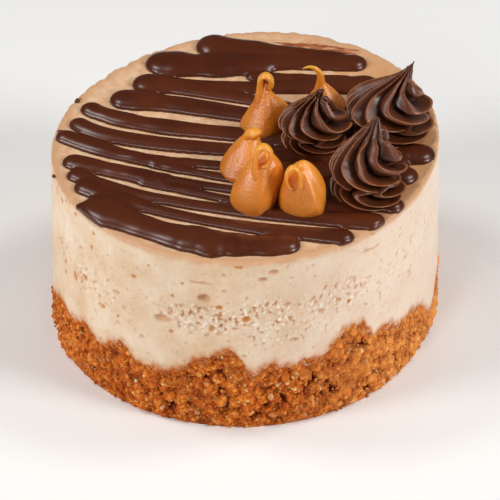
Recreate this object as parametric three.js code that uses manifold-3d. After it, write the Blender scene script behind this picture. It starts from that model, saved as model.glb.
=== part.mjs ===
// A whole baked cheesecake: a biscuit-crumb base that climbs the side in tongues, a caramel cheese filling
// with chocolate drizzled over its top, five piped caramel drops and three piped chocolate rosettes.
// Millimetres, +Z up. The origin is the middle of the underside, +X is the side that carries the toppings,
// and azimuths are degrees from +X towards +Y.
import * as THREE from "three";
import { mergeVertices } from "three/addons/utils/BufferGeometryUtils.js";
import Module from "manifold-3d";

// Driving dimensions of the cake
const CAKE_RADIUS = 78; // mean radius of the oval plan
const CAKE_HEIGHT = 79.4; // underside to the filling's top face
const OVAL = { swing: 3.2, azimuth: 59 }; // the plan is longest along this azimuth
const THREE_SIDED = { swing: 1, azimuth: 54 }; // a slighter bulge towards three sides
const FOOT_FLARE = 0.017; // the foot is wider than the top by this share
const RIM_ROUND = 1.6; // rounded upper edge of the filling
const SEGMENTS = 108; // facets round the cake
const GAP = 0.3; // clearance between neighbouring solids

// Crumb base: the level it keeps inside, and where it climbs or drops at the side
const CRUMB_LEVEL = 23;
const CRUMB_RIM = 9; // how far in from the side a tongue fades to the level
const CRAG_DEPTH = 2.2; // from the top of a crag to the bottom of a hollow
const CRAG_PROUD = 0.6; // how far the tallest crags stand out of the side
const CRUMB_ROWS = 11; // rows of crags from foot to top
const CRUMB_REACH = 0.6; // share of the cake's height that the crumb never climbs over
const CUT_REACH = 1.1; // the cut between crumb and filling runs past the side by this share
const TONGUES = [
  // [azimuth, rise, spread] of each climb or drop
  [203, 2, 6],
  [217, 4, 3.5],
  [231, 5, 3.5],
  [234, 3, 2.5],
  [257, 9, 6],
  [262, 5, 3],
  [266, 12, 3.5],
  [277, 7, 5],
  [287, 6, 5],
  [293, 3, 3],
  [300, 16, 6],
  [306, 8, 3],
  [315, 7, 5.5],
  [328, 2, 5],
  [345, -9, 6],
  [352, -6, 8],
  [184, -9, 10],
  [90, -10, 75],
];
const BACK_TONGUES = { count: 6, from: 34, to: 150, rises: [5, 11, 3, 8], spread: 6 };

// Chocolate drizzle: each stroke runs through three points [x, y, half-width] of the top face
const STROKES = [
  // back smear and the first pass
  [[-13.5, 67.5, 8], [12, 63, 5.5], [38, 59.6, 3.2]],
  [[-33.5, 55, 8.4], [-14, 53.2, 7.9], [6, 54, 6.4]],
  [[0, 54.6, 6], [22, 55.4, 4.9], [43, 55.2, 5.8]],
  [[2, 45.6, 3], [18, 44.6, 2.8], [40, 42.8, 3.2]],
  // second pass and its lower branch
  [[-40, 40.3, 6.9], [0, 37.6, 3.9], [47, 39.5, 6.4]],
  [[-30, 37.5, 3.9], [-8, 31.6, 3.7], [14, 25, 3.4]],
  // passes that end in single rounded heads at the left
  [[-49, 29.2, 6.9], [-25, 24.6, 5.5], [4, 16.8, 5.2]],
  [[-62.5, 22.3, 4.7], [-40, 11.9, 4.9], [2, 4, 4.6]],
  [[-67, 11.8, 4.6], [-45, 0.9, 4.4], [0, -6.4, 4.2]],
  // passes that fork towards the middle
  [[-75, 7, 1], [-73, 5.2, 2.4], [-69, 2, 3.4]],
  [[-72, 3, 4.6], [-48, -9.6, 4.2], [-28, -15, 3.8]],
  [[-36, -12.5, 3], [-20, -15, 2.8], [0, -18, 3]],
  [[-36, -15.8, 3], [-20, -21.2, 2.4], [0, -27, 2.6]],
  [[-68, -14, 5.2], [-50, -20.8, 4.9], [-33, -26.8, 5]],
  [[-38, -24.2, 3.2], [-20, -28.8, 2.5], [0, -34, 2.6]],
  [[-40, -27.5, 3], [-22, -34, 2.5], [0, -42, 2.6]],
  // passes that reach the right end
  [[-67, -23, 4.6], [-22, -42.3, 3.2], [47.6, -53.8, 5.4]],
  [[-62.5, -31, 5.2], [-22, -50.9, 3.2], [36, -63.6, 5]],
  // front smear
  [[-66.5, -44.4, 0.9], [-63, -43.4, 3.2], [-56, -44, 7]],
  [[-56.5, -46, 9.2], [-36, -59, 6.8], [-14, -68, 8.8]],
  [[-22, -64.8, 8.4], [-4, -68.6, 7], [14.5, -68.6, 6.4]],
  // right ends that come out from under the toppings
  [[46, 20, 4], [58, 19.5, 5], [67, 19.6, 6.4]],
  [[44, -7, 4], [56, -8, 5.2], [67.5, -8.8, 6.8]],
  [[48, -21.5, 4], [55, -22.6, 4.8], [60.8, -23.2, 6.2]],
  [[46, -41, 4], [51, -42.3, 4.6], [55.8, -43.2, 5.6]],
];
const STROKE_RISE = { flat: 1.3, perHalfWidth: 0.31 }; // height of a stroke over the filling
const DRIZZLE_REACH = 0.3; // how far past the rim the drizzle may hang
const STROKE_ROWS = 9; // facets along a stroke
const STROKE_SIDES = 8; // facets round a stroke
const FOOT_ROOM = { margin: 3 * GAP, height: 12, sides: 24 }; // kept free of chocolate at a topping's foot

// Piped caramel drops. A body narrows late when plump is large and keeps full when waist is small.
// A ridge climbs the body from one azimuth to another and stands out by amount, most at the share of the
// height called middle, fading before and after in azimuth and over reach in height.
// A facet flattens what lies beyond distance from the body's middle, towards azimuth and tilted up by tilt.
// A tail rises from start and then loops over towards azimuth through turn degrees. It is a ribbon, thick one
// way and wide the other, swollen by root at its start and down to the share tip at its end.
const DROPS = [
  {
    at: [6.2, 9.8], radius: 10.6, height: 22, lean: [1, 1.2], plump: 1, waist: 1.1,
    ridges: [
      { azimuths: [10, 20], amount: 4.2, before: 55, after: 55, middle: 0.42, reach: 0.25 },
      { azimuths: [262, 285], amount: 0.7, before: 40, after: 40, middle: 0.3, reach: 0.4 },
    ],
    facets: [{ azimuth: 235, tilt: 36, distance: 6.6 }],
    tail: {
      start: [-1.3, 1.2, 10], rise: 11.2, bend: 2.2, stretch: 1.5, azimuth: 350, turn: 235,
      thick: 1.35, wide: 2.4, root: 1.3, tip: 0.85,
    },
  },
  {
    at: [-1.6, -19.4], radius: 9.9, height: 18.5, lean: [4.2, 2.4], plump: 1.4, waist: 0.8,
    ridges: [
      { azimuths: [275, 290], amount: 0.8, before: 40, after: 40, middle: 0.4, reach: 0.4 },
      { azimuths: [240, 240], amount: 0.9, before: 70, after: 70, middle: 0.06, reach: 0.1 },
    ],
    facets: [{ azimuth: 225, tilt: 34, distance: 5.8 }],
    tail: {
      start: [2.4, 1.6, 6], rise: 9.4, bend: 3, stretch: 0.8, azimuth: 318, turn: 125,
      thick: 2.9, wide: 3.7, root: 0.8, tip: 0.72,
    },
  },
  {
    at: [2, -42], radius: 9.2, height: 24, lean: [5, 3], plump: 1.9, waist: 0.75,
    ridges: [
      { azimuths: [290, 282], amount: 1.1, before: 50, after: 30, middle: 0.1, reach: 0.4 },
      { azimuths: [0, 16], amount: 4, before: 70, after: 60, middle: 0.62, reach: 0.3 },
    ],
    facets: [{ azimuth: 318, tilt: 5, distance: 7.6 }],
    tail: {
      start: [0.9, -2.2, 13], rise: 11.6, bend: 3, stretch: 1.5, azimuth: 0, turn: 290,
      thick: 1.05, wide: 2, root: 0.6, tip: 1,
    },
  },
  {
    at: [20.9, -44], radius: 9.1, height: 21.5, lean: [0.4, 1], plump: 2.5, waist: 0.66,
    ridges: [
      { azimuths: [318, 262], amount: 2.4, before: 46, after: 30, middle: 0.35, reach: 0.5 },
      { azimuths: [0, 10], amount: 0.8, before: 50, after: 50, middle: 0.5, reach: 0.3 },
    ],
    facets: [{ azimuth: 248, tilt: 16, distance: 6.6 }],
    tail: {
      start: [-0.8, -4.4, 14], rise: 3.4, bend: 2.7, stretch: 1.8, azimuth: 180, turn: 290,
      thick: 0.85, wide: 1.9, root: 0.6, tip: 0.8,
    },
  },
  {
    at: [31, 23.5], radius: 9.8, height: 14, lean: [-2, 0], plump: 1, waist: 0.9,
    ridges: [{ azimuths: [200, 240], amount: 0.7, before: 40, after: 40, middle: 0.3, reach: 0.4 }],
    facets: [],
    tail: {
      start: [-2, 0, 4], rise: 10.6, bend: 4.6, stretch: 1.15, azimuth: 180, turn: 130,
      thick: 2.6, wide: 2.6, root: 0.9, tip: 0.12,
    },
  },
];
const DROP_ROWS = 9;
const DROP_SIDES = 14;
const FOOT_SHARE = 0.84; // a drop's foot as a share of its widest radius
const FOOT_RISE = 0.14; // share of its height where it is widest
const FACET_LEVEL = 0.35; // share of its height where a facet's distance is measured
const FACET_DEPTH = 0.85; // how much of what lies beyond a facet is pressed flat
const TAIL_ROWS = 6; // rows of facets in each half of a tail
const TAIL_SIDES = 8;
const ROOT_FADE = 1.5; // how quickly the swelling at a tail's start fades
const TAIL_OVERLAP = 0.04; // how far the halves of a tail run into one another, as a share of its length

// Piped chocolate rosettes: fins in two tiers that swing round as they fall from a leaning tip.
// The tip leans by lean, the middle sways by sway along X, a fin at the tip starts at the azimuth start,
// a larger slim makes a slimmer rosette, tip is half the width that is left at the top, and skirt is how wide
// the lower tier is beside the upper one.
const ROSETTES = [
  {
    at: [25.2, -0.5], radius: 14.6, height: 25, lean: [3.4, 0], sway: 0.5, start: 12, slim: 1, tip: 2.8,
    skirt: 0.86,
  },
  {
    at: [56.5, 8.2], radius: 17.3, height: 28.5, lean: [9, 6.4], sway: -2.4, start: 30, slim: 1.4, tip: 0.3,
    skirt: 1,
  },
  {
    at: [46.4, -35], radius: 14.6, height: 32, lean: [3.6, 6], sway: -0.8, start: 20, slim: 0.85, tip: 1,
    skirt: 1,
  },
];
const TIERS = [
  // share of the rosette's height, share of its radius, degrees that the fins have swung round
  [0, 0.78, 158],
  [0.05, 0.92, 128],
  [0.1, 0.96, 99],
  [0.15, 0.93, 76],
  [0.19, 0.86, 60],
  [0.23, 0.78, 56],
  [0.26, 0.76, 72],
  [0.3, 0.88, 86],
  [0.36, 0.99, 72],
  [0.44, 0.99, 42],
  [0.53, 0.85, 23],
  [0.64, 0.64, 10],
  [0.76, 0.44, 4],
  [0.88, 0.24, 1],
  [1, 0.03, 0],
];
const SKIRT_REACH = [0.25, 0.5]; // shares of the height where the lower tier's width gives way to the upper's
const FINS = 9;
const FIN_CROWDING = 0.48; // how much closer together the fins stand at -X than at +X
// across one fin: share of the way to the next fin's edge, share of the groove's depth
const FIN_PROFILE = [[0, 0], [0.3, 1], [0.55, 0.56], [0.8, 0.2]];
const GROOVE = { foot: 0.54, tip: 0.66, deepensFrom: 0.5 }; // depth of a groove as a share of the radius
const LEVEL_TOLERANCE = 0.001; // slack in telling which tier a vertex belongs to, as a share of the height
const LEAN_POWER = 2.4; // a rosette leans mostly near its tip
const SWAY_REACH = 0.85; // share of the height over which a rosette sways to one side

const CRUMB_COLOUR = 0xb4622c;
const FILLING_COLOUR = 0xe3cbae;
const CARAMEL_COLOUR = 0xcf7d2a;
const CHOCOLATE_COLOUR = 0x3b1c12;

const wasm = await Module();
wasm.setup();

const radians = THREE.MathUtils.degToRad;
const degrees = THREE.MathUtils.radToDeg;

// A closed geometry as a solid that can be joined and cut.
function solidFrom(geometry) {
  const bare = geometry.clone();
  bare.deleteAttribute("normal");
  bare.deleteAttribute("uv");
  const merged = mergeVertices(bare, 1e-4);
  return new wasm.Manifold(
    new wasm.Mesh({
      numProp: 3,
      vertProperties: new Float32Array(merged.attributes.position.array),
      triVerts: new Uint32Array(merged.index.array),
    }),
  );
}

// A solid as a named mesh with its colour and roughness.
function meshFrom(solid, name, colour, roughness) {
  const { vertProperties, triVerts } = solid.getMesh();
  const geometry = new THREE.BufferGeometry();
  geometry.setAttribute("position", new THREE.BufferAttribute(vertProperties, 3));
  geometry.setIndex(new THREE.BufferAttribute(triVerts, 1));
  geometry.computeVertexNormals();
  const material = new THREE.MeshStandardMaterial({ color: colour, roughness, metalness: 0 });
  const mesh = new THREE.Mesh(geometry, material);
  mesh.name = name;
  return mesh;
}

// A solid turned about +Z from [radius, height] points that start and end on the axis,
// whose every vertex is then moved to where shape(vertex) puts it.
function turned(profile, sides, shape) {
  const points = profile.map(([radius, height]) => new THREE.Vector2(radius, height));
  const geometry = new THREE.LatheGeometry(points, sides);
  geometry.rotateX(Math.PI / 2);
  const position = geometry.attributes.position;
  const vertex = new THREE.Vector3();
  for (let i = 0; i < position.count; i++) {
    shape(vertex.fromBufferAttribute(position, i));
    position.setXYZ(i, vertex.x, vertex.y, vertex.z);
  }
  return solidFrom(geometry);
}

// Radius of the cake's plan at an azimuth, at a height over the underside.
function planRadius(azimuth, height) {
  const oval = OVAL.swing * Math.cos(2 * (azimuth - radians(OVAL.azimuth)));
  const threeSided = THREE_SIDED.swing * Math.cos(3 * (azimuth - radians(THREE_SIDED.azimuth)));
  const flare = 1 + FOOT_FLARE * (1 - height / CAKE_HEIGHT);
  return (CAKE_RADIUS + oval + threeSided) * flare;
}

// Stretches a round vertex to the cake's plan, keeping its height.
function toPlan(vertex) {
  const azimuth = Math.atan2(vertex.y, vertex.x);
  const stretch = planRadius(azimuth, vertex.z) / CAKE_RADIUS;
  vertex.x *= stretch;
  vertex.y *= stretch;
}

// A repeatable number from 0 to 1 for a pair of whole numbers.
function speckle(a, b) {
  const wave = Math.sin(a * 127.1 + b * 311.7) * 43758.5453;
  return wave - Math.floor(wave);
}

// The tongues of crumb that the side shows, with plain ones round the back.
function crumbTongues() {
  const { count, from, to, rises, spread } = BACK_TONGUES;
  const step = (to - from) / (count - 1);
  const back = Array.from({ length: count }, (_, i) => [from + step * i, rises[i % rises.length], spread]);
  return [...TONGUES, ...back];
}
const ALL_TONGUES = crumbTongues();

// Height of the face between crumb and filling, inset from the side.
function crumbTop(azimuth, inset) {
  const fade = Math.max(0, 1 - inset / CRUMB_RIM);
  const climb = ALL_TONGUES.reduce((sum, [middle, rise, spread]) => {
    const away = ((degrees(azimuth) - middle + 900) % 360) - 180;
    return sum + rise * Math.exp(-((away / spread) ** 2));
  }, 0);
  return CRUMB_LEVEL + climb * fade;
}

// Everything under the face between crumb and filling, raised by lift and wider than the cake.
function underCrumbTop(lift) {
  const wide = CAKE_RADIUS * CUT_REACH;
  const rings = [wide, CAKE_RADIUS, CAKE_RADIUS - CRUMB_RIM / 3, CAKE_RADIUS - CRUMB_RIM];
  const profile = [[0, -1], [wide, -1], ...rings.map((radius) => [radius, CRUMB_LEVEL]), [0, CRUMB_LEVEL]];
  return turned(profile, SEGMENTS, (vertex) => {
    const round = Math.hypot(vertex.x, vertex.y);
    const azimuth = Math.atan2(vertex.y, vertex.x);
    const isTop = vertex.z > 0;
    toPlan(vertex);
    if (isTop) vertex.z = crumbTop(azimuth, Math.max(0, CAKE_RADIUS - round)) + lift;
  });
}

// The crumb's side is broken into crags. The foot and the top edge of the drum stay whole.
function crumbSolid() {
  const drumTop = CAKE_HEIGHT * CRUMB_REACH;
  const heights = Array.from({ length: CRUMB_ROWS + 1 }, (_, i) => (drumTop * i) / CRUMB_ROWS);
  const profile = [[0, 0], ...heights.map((height) => [CAKE_RADIUS, height]), [0, drumTop]];
  const drum = turned(profile, SEGMENTS, (vertex) => {
    const isSide = Math.hypot(vertex.x, vertex.y) > CAKE_RADIUS / 2;
    const around = Math.round((Math.atan2(vertex.y, vertex.x) * SEGMENTS) / (2 * Math.PI)) % SEGMENTS;
    const row = Math.round((vertex.z * CRUMB_ROWS) / drumTop);
    toPlan(vertex);
    if (!isSide || row === 0) return;
    const swell = 1 + (CRAG_PROUD - CRAG_DEPTH * speckle(around, row)) / CAKE_RADIUS;
    vertex.x *= swell;
    vertex.y *= swell;
  });
  return drum.intersect(underCrumbTop(0));
}

// One stroke of chocolate: a spindle with round ends, flattened and laid along its curve.
function strokeSolid(points) {
  // the curve carries the half-width as its third number
  const [first, middle, last] = points.map(([x, y, halfWidth]) => new THREE.Vector3(x, y, halfWidth));
  const bend = middle.clone().multiplyScalar(2).addScaledVector(first, -0.5).addScaledVector(last, -0.5);
  const path = new THREE.QuadraticBezierCurve3(first, bend, last);
  const length = Math.hypot(last.x - first.x, last.y - first.y);
  const shareOf = (run) => THREE.MathUtils.clamp(run / length, 0, 1);
  const profile = Array.from({ length: STROKE_ROWS + 1 }, (_, i) => {
    // rows crowd towards the ends, where the outline turns
    const run = ((length + first.z + last.z) * (1 - Math.cos((Math.PI * i) / STROKE_ROWS))) / 2 - first.z;
    const width = path.getPoint(shareOf(run)).z;
    const past = run - shareOf(run) * length;
    const isEnd = i === 0 || i === STROKE_ROWS;
    return [isEnd ? 0 : Math.sqrt(Math.max(0, width ** 2 - past ** 2)), run];
  });
  return turned(profile, STROKE_SIDES, (vertex) => {
    const share = shareOf(vertex.z);
    const centre = path.getPoint(share);
    const along = path.getTangent(share).setZ(0).normalize();
    const past = vertex.z - share * length;
    const sideways = vertex.x;
    const rise = STROKE_RISE.flat + STROKE_RISE.perHalfWidth * centre.z;
    vertex.z = CAKE_HEIGHT + (vertex.y / centre.z) * rise;
    vertex.x = centre.x + along.x * past - along.y * sideways;
    vertex.y = centre.y + along.y * past + along.x * sideways;
  });
}

// The space round the top face that the drizzle may fill.
function drizzleRoom() {
  const wide = CAKE_RADIUS + DRIZZLE_REACH;
  const low = CAKE_HEIGHT / 2;
  const high = CAKE_HEIGHT + FOOT_ROOM.height;
  return turned([[0, low], [wide, low], [wide, high], [0, high]], SEGMENTS, toPlan);
}

// Clear space round a topping's foot, so that the chocolate stops short of it.
function footClearance({ at: [x, y], radius }) {
  const { margin, height, sides } = FOOT_ROOM;
  const room = new THREE.CylinderGeometry(radius + margin, radius + margin, height, sides);
  room.rotateX(Math.PI / 2);
  room.translate(x, y, CAKE_HEIGHT + height / 2);
  return solidFrom(room);
}

// The filling: a drum with a rounded rim over the crumb, with the drizzle fused to its top.
function fillingSolid() {
  const bottom = CRUMB_LEVEL / 3;
  const shoulder = CAKE_HEIGHT - RIM_ROUND;
  const soft = RIM_ROUND * (1 - Math.SQRT1_2);
  const profile = [
    [0, bottom],
    [CAKE_RADIUS, bottom],
    [CAKE_RADIUS, shoulder],
    [CAKE_RADIUS - soft, CAKE_HEIGHT - soft],
    [CAKE_RADIUS - RIM_ROUND, CAKE_HEIGHT],
    [0, CAKE_HEIGHT],
  ];
  const drum = turned(profile, SEGMENTS, toPlan).subtract(underCrumbTop(GAP));
  const drizzle = STROKES.map(strokeSolid).reduce((joined, stroke) => joined.add(stroke));
  const rooms = [...DROPS, ...ROSETTES].map(footClearance).reduce((joined, room) => joined.add(room));
  return drum.add(drizzle.intersect(drizzleRoom()).subtract(rooms));
}

// One half of a drop's tail, from one share of its length to another: a ribbon that rises and loops over.
function tailHalf(at, tail, from, to) {
  const { start, rise, bend, stretch, turn, thick, wide, root, tip } = tail;
  const loop = ((bend * (1 + stretch)) / 2) * radians(turn);
  const length = rise + loop;
  const step = (length * (to - from)) / TAIL_ROWS;
  const rows = Array.from({ length: TAIL_ROWS + 1 }, (_, i) => [1, length * from + step * i]);
  const way = radians(tail.azimuth);
  return turned([[0, length * from], ...rows, [0, length * to]], TAIL_SIDES, (vertex) => {
    const run = vertex.z;
    const angle = (Math.max(0, run - rise) / loop) * radians(turn);
    const swollen = 1 + root * Math.max(0, 1 - run / rise) ** ROOT_FADE;
    const taper = (1 - ((1 - tip) * run) / length) * swollen;
    const depth = thick * taper * vertex.x;
    const aside = wide * taper * vertex.y;
    const out = bend * (1 - Math.cos(angle)) + depth * Math.cos(angle);
    const up = Math.min(run, rise) + bend * stretch * Math.sin(angle) - depth * Math.sin(angle);
    vertex.x = at[0] + start[0] + out * Math.cos(way) - aside * Math.sin(way);
    vertex.y = at[1] + start[1] + out * Math.sin(way) + aside * Math.cos(way);
    vertex.z = CAKE_HEIGHT + GAP + start[2] + up;
  });
}

// How far the ridges of a drop stand out at an azimuth in degrees and a share of its height.
function ridgeAt(ridges, azimuth, share) {
  return ridges.reduce((sum, { azimuths: [low, high], amount, before, after, middle, reach }) => {
    const aside = ((azimuth - low - (high - low) * share + 900) % 360) - 180;
    const tent = Math.max(0, 1 - (aside < 0 ? -aside / before : aside / after));
    return sum + amount * tent * Math.exp(-(((share - middle) / reach) ** 2));
  }, 0);
}

// The body of a caramel drop, which leans as it narrows, made larger all round by room.
function dropBody({ at, radius, height, lean, plump, waist, ridges, facets }, room) {
  const profile = Array.from({ length: DROP_ROWS }, (_, i) => {
    const share = i / DROP_ROWS;
    const foot = FOOT_SHARE + (1 - FOOT_SHARE) * Math.sqrt(Math.min(1, share / FOOT_RISE));
    return [radius * foot * (1 - share ** plump) ** waist + room, share * height];
  });
  return turned([[0, 0], ...profile, [0, height]], DROP_SIDES, (vertex) => {
    const share = vertex.z / height;
    const azimuth = Math.atan2(vertex.y, vertex.x);
    const round = Math.hypot(vertex.x, vertex.y);
    const swell = round > 0 ? 1 + ridgeAt(ridges, degrees(azimuth), share) / round : 1;
    vertex.x = vertex.x * swell + lean[0] * share ** 2;
    vertex.y = vertex.y * swell + lean[1] * share ** 2;
    facets.forEach(({ azimuth: way, tilt, distance }) => {
      const normal = new THREE.Vector3().setFromSphericalCoords(1, radians(90 - tilt), radians(way));
      normal.set(normal.z, normal.x, normal.y);
      const beyond = vertex.dot(normal) - FACET_LEVEL * height * normal.z - distance - room;
      vertex.addScaledVector(normal, -FACET_DEPTH * Math.max(0, beyond));
    });
    vertex.x += at[0];
    vertex.y += at[1];
    vertex.z = CAKE_HEIGHT + GAP + Math.max(0, vertex.z);
  });
}

function dropSolid(drop) {
  const lower = tailHalf(drop.at, drop.tail, 0, 0.5 + TAIL_OVERLAP);
  const upper = tailHalf(drop.at, drop.tail, 0.5, 1);
  return dropBody(drop, 0).add(lower).add(upper);
}

// A chocolate rosette: two tiers of one-sided fins, each with a steep back, which swing and lean as they
// rise. It gives way where it presses against a drop.
function rosetteSolid({ at, radius, height, lean, sway, start, slim, tip, skirt }) {
  const rows = TIERS.map(([share, width]) => {
    const beside = THREE.MathUtils.lerp(skirt, 1, THREE.MathUtils.smoothstep(share, ...SKIRT_REACH));
    return [Math.max(tip, radius * width ** slim) * beside, share * height];
  });
  const sides = FINS * FIN_PROFILE.length;
  const swirl = turned([[0, 0], ...rows, [0, height]], sides, (vertex) => {
    const share = Math.max(0, vertex.z / height);
    const side = Math.round((Math.atan2(vertex.y, vertex.x) * sides) / (2 * Math.PI)) + sides;
    const [within, hollow] = FIN_PROFILE[side % FIN_PROFILE.length];
    const fin = Math.floor(side / FIN_PROFILE.length) + within;
    const [, , swing] = TIERS.findLast(([level]) => level <= share + LEVEL_TOLERANCE);
    const even = (2 * Math.PI * fin) / FINS + radians(swing + start);
    const turn = even + FIN_CROWDING * Math.sin(even);
    const late = THREE.MathUtils.smoothstep(share, GROOVE.deepensFrom, 1);
    const groove = THREE.MathUtils.lerp(GROOVE.foot, GROOVE.tip, late);
    const round = Math.hypot(vertex.x, vertex.y) * (1 - groove * hollow);
    const leaning = share ** LEAN_POWER;
    const swaying = Math.sin(Math.PI * Math.min(1, share / SWAY_REACH));
    vertex.x = at[0] + round * Math.cos(turn) + lean[0] * leaning + sway * swaying;
    vertex.y = at[1] + round * Math.sin(turn) + lean[1] * leaning;
    vertex.z += CAKE_HEIGHT + GAP;
  });
  return DROPS.reduce((left, drop) => left.subtract(dropBody(drop, 2 * GAP)), swirl);
}

const cheesecake = new THREE.Group();
cheesecake.add(meshFrom(crumbSolid(), "crumb_base", CRUMB_COLOUR, 0.9));
cheesecake.add(meshFrom(fillingSolid(), "cheese_filling", FILLING_COLOUR, 0.6));
DROPS.forEach((drop, i) => {
  cheesecake.add(meshFrom(dropSolid(drop), `caramel_drop_${i + 1}`, CARAMEL_COLOUR, 0.4));
});
ROSETTES.forEach((rosette, i) => {
  cheesecake.add(meshFrom(rosetteSolid(rosette), `chocolate_rosette_${i + 1}`, CHOCOLATE_COLOUR, 0.45));
});

export default cheesecake;
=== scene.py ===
# The looks of a whole baked cheesecake: a coarse crumb base, a pitted cheese filling, a chocolate drizzle,
# piped caramel drops and piped chocolate rosettes.
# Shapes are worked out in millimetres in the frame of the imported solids, and turned to metres as they
# become pieces.
import math
import random

import bmesh
import bpy
import numpy as np
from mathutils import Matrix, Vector, noise


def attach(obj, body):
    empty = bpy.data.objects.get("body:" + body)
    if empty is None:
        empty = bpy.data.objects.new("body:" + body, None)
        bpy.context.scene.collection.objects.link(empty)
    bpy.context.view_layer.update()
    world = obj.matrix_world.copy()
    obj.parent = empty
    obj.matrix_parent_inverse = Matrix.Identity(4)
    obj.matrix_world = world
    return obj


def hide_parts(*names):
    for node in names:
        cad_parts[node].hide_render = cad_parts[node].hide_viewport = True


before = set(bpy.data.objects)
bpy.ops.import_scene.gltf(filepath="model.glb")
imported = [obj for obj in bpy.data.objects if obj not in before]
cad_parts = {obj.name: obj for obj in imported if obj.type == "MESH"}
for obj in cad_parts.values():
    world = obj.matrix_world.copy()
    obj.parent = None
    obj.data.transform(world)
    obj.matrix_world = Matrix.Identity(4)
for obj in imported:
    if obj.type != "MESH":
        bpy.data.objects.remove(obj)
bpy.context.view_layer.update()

MM = 0.001

# The cake's body
CAKE_RADIUS = 78.0
CAKE_HEIGHT = 79.4
OVAL_SWING, OVAL_AZIMUTH = 3.2, 59.0
THREE_SIDED_SWING, THREE_SIDED_AZIMUTH = 1.0, 54.0
FOOT_FLARE = 0.017
RIM_ROUND = 1.5
RIM_UNEVENNESS = 0.25
RIM_CHIP = 3.2  # how much rounder the rim is where it is worn away
CHIP_SIZE, CHIP_LEVEL = 4.5, 0.1
SMALL_CHIP_SIZE, SMALL_CHIP = 1.6, 0.4
AROUND = 860  # steps round the cake, closer together at the front than at the back
FRONT_CROWDING = 0.42
RIM_LIP = 0.4  # how far the rim stands above the top face
LIP_WIDTH = 2.2
LIP_WAVE, LIP_UNEVENNESS = 7.0, 0.8
TOPPING_GAP = 0.3  # how far the toppings' feet stand above the top face

# The crumb: its level, and where it climbs the side as (azimuth, rise, spread)
CRUMB_LEVEL = 23.0
CRUMB_ROWS = 84
CRUMB_OVERLAP = 1.8  # how far crumb and filling mingle above and below the line between them
TONGUES = [
    (203, 2, 6), (217, 4, 3.5), (231, 5, 3.5), (234, 3, 2.5), (257, 9, 6), (262, 5, 3), (266, 12, 3.5),
    (277, 7, 5), (287, 6, 5), (293, 3, 3), (300, 16, 6), (306, 8, 3), (315, 7, 5.5), (328, 2, 5),
    (345, -9, 6), (352, -6, 8), (184, -9, 10), (90, -10, 75),
]
BACK_TONGUES = 6
BACK_FROM, BACK_TO = 34, 150
BACK_RISES = (5, 11, 3, 8)
BACK_SPREAD = 6
EDGE_STEPS = 5000  # steps round the cake at which the line between crumb and filling is worked out
EDGE_WAVES = [(1.1, 3.6, 1.9), (0.9, 1.5, 2.7)]  # its raggedness as (rise, size, offset of the noise)
CRUMB_INSET = 1.1  # how far inside the plan the side lies before its relief
CRUMB_TUCK = 1.5  # how far the side draws back along the filling
CRUMB_FOOT, CRUMB_FOOT_RELIEF = 1.5, 0.25  # height and share to which the relief dies out at the floor
CRUMB_CLOSING = (4, 12)  # steps inwards of the rows that close the crumb inside the cake
# relief of the crumb: clumps and grains, each as wide in its cell as its reach, gaps and fine roughness
CLUMP_SIZE, CLUMP_RISE, CLUMP_REACH = 3.8, 1.6, 0.7
GRAIN_SIZE, GRAIN_RISE, GRAIN_REACH = 1.25, 0.6, 0.65
GAP_SIZE, GAP_LEVEL, GAP_DEPTH = 4.2, 0.28, 6.5
FINE_CRUMB_SIZE, FINE_CRUMB_RISE = 0.6, 0.22
# how loosely the crumb is pressed, in patches, as a share of its relief
LOOSE_SIZE, LOOSE_USUAL, LOOSE_SWING = 11.0, 0.8, 0.9
LOOSE_RANGE = (0.35, 1.2)
RELIEF_SHADE_MIDDLE, RELIEF_SHADE_RANGE = 0.55, 2.6  # how relief becomes painted shade: the crumb's colour is darker where its relief is sunk
SCRAMBLE = (127.1, 311.7, 74.7)  # numbers that turn a cell's place into its own random number
SCRAMBLE_GAIN = 43758.5453
LOOSE_GRAINS = 3600
SMALLEST_GRAIN, LARGEST_GRAIN, GRAIN_RARITY = 0.38, 1.6, 4.2
GRAIN_SINK = 0.45  # share of a grain's size by which it is sunk into the side
GRAIN_STANDING = (-0.5, 0.3)
EDGE_GRAINS = 6  # every sixth grain lies along the line between crumb and filling
EDGE_GRAIN_SIZES, EDGE_GRAIN_RISES = (0.35, 0.65), (-1.2, 1.4)

# Pebbles, as loose grains and spatter are
FINE_PEBBLE = 0.8  # pebbles up to this size have fewer faces
PEBBLE_RELIEF, PEBBLE_WAVES, PEBBLE_PHASES = 0.14, 3, 6
PEBBLE_STRETCH = (0.7, 1.15)
PEBBLE_RELIEF_SHADE = 0.8  # how little painted shade a pebble gets, beside the side's sunk relief

# The filling
FILLING_ROWS = 90
RIM_ROWS = 6
TOP_ROWS = 14
FILLING_HEM = 0.8  # how much further down than the crumb's edge the filling runs
FILLING_TUCK = 0.9  # how far the filling draws back behind the crumb
FILLING_CLOSING = 6
FILLING_WAVES = [(0.22, 9.0, 0.0), (0.14, 2.6, 7.7), (0.06, 1.1, 2.2)]  # as the crumb's edge is given
TOP_WAVINESS = 0.6
TAN_DEPTH, FULL_TAN_DEPTH = 2.5, 0.2  # depths below the top where the tan starts and is full
STAIN_FROM, STAIN_REACH = 0.8, 4.2  # where and how far the crumb's colour soaks up into the filling
STAIN_FADE, STAIN_TINT, STAIN_PATCH = 1.6, 0.9, 2.6
# flocks of crumbly pits as (azimuth, height, spread round the cake, spread in height, strength)
PIT_FLOCKS = [
    (259, 52, 11, 6.5, 0.95), (275, 54, 9, 8, 0.75), (296, 57, 12, 7, 0.7), (281, 45, 12, 6, 0.55),
    (326, 54, 18, 10, 0.45), (222, 50, 11, 8, 0.6), (206, 56, 7, 10, 0.5), (90, 50, 60, 10, 0.5),
]
FLOCK_FULLNESS = 1.7
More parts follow.
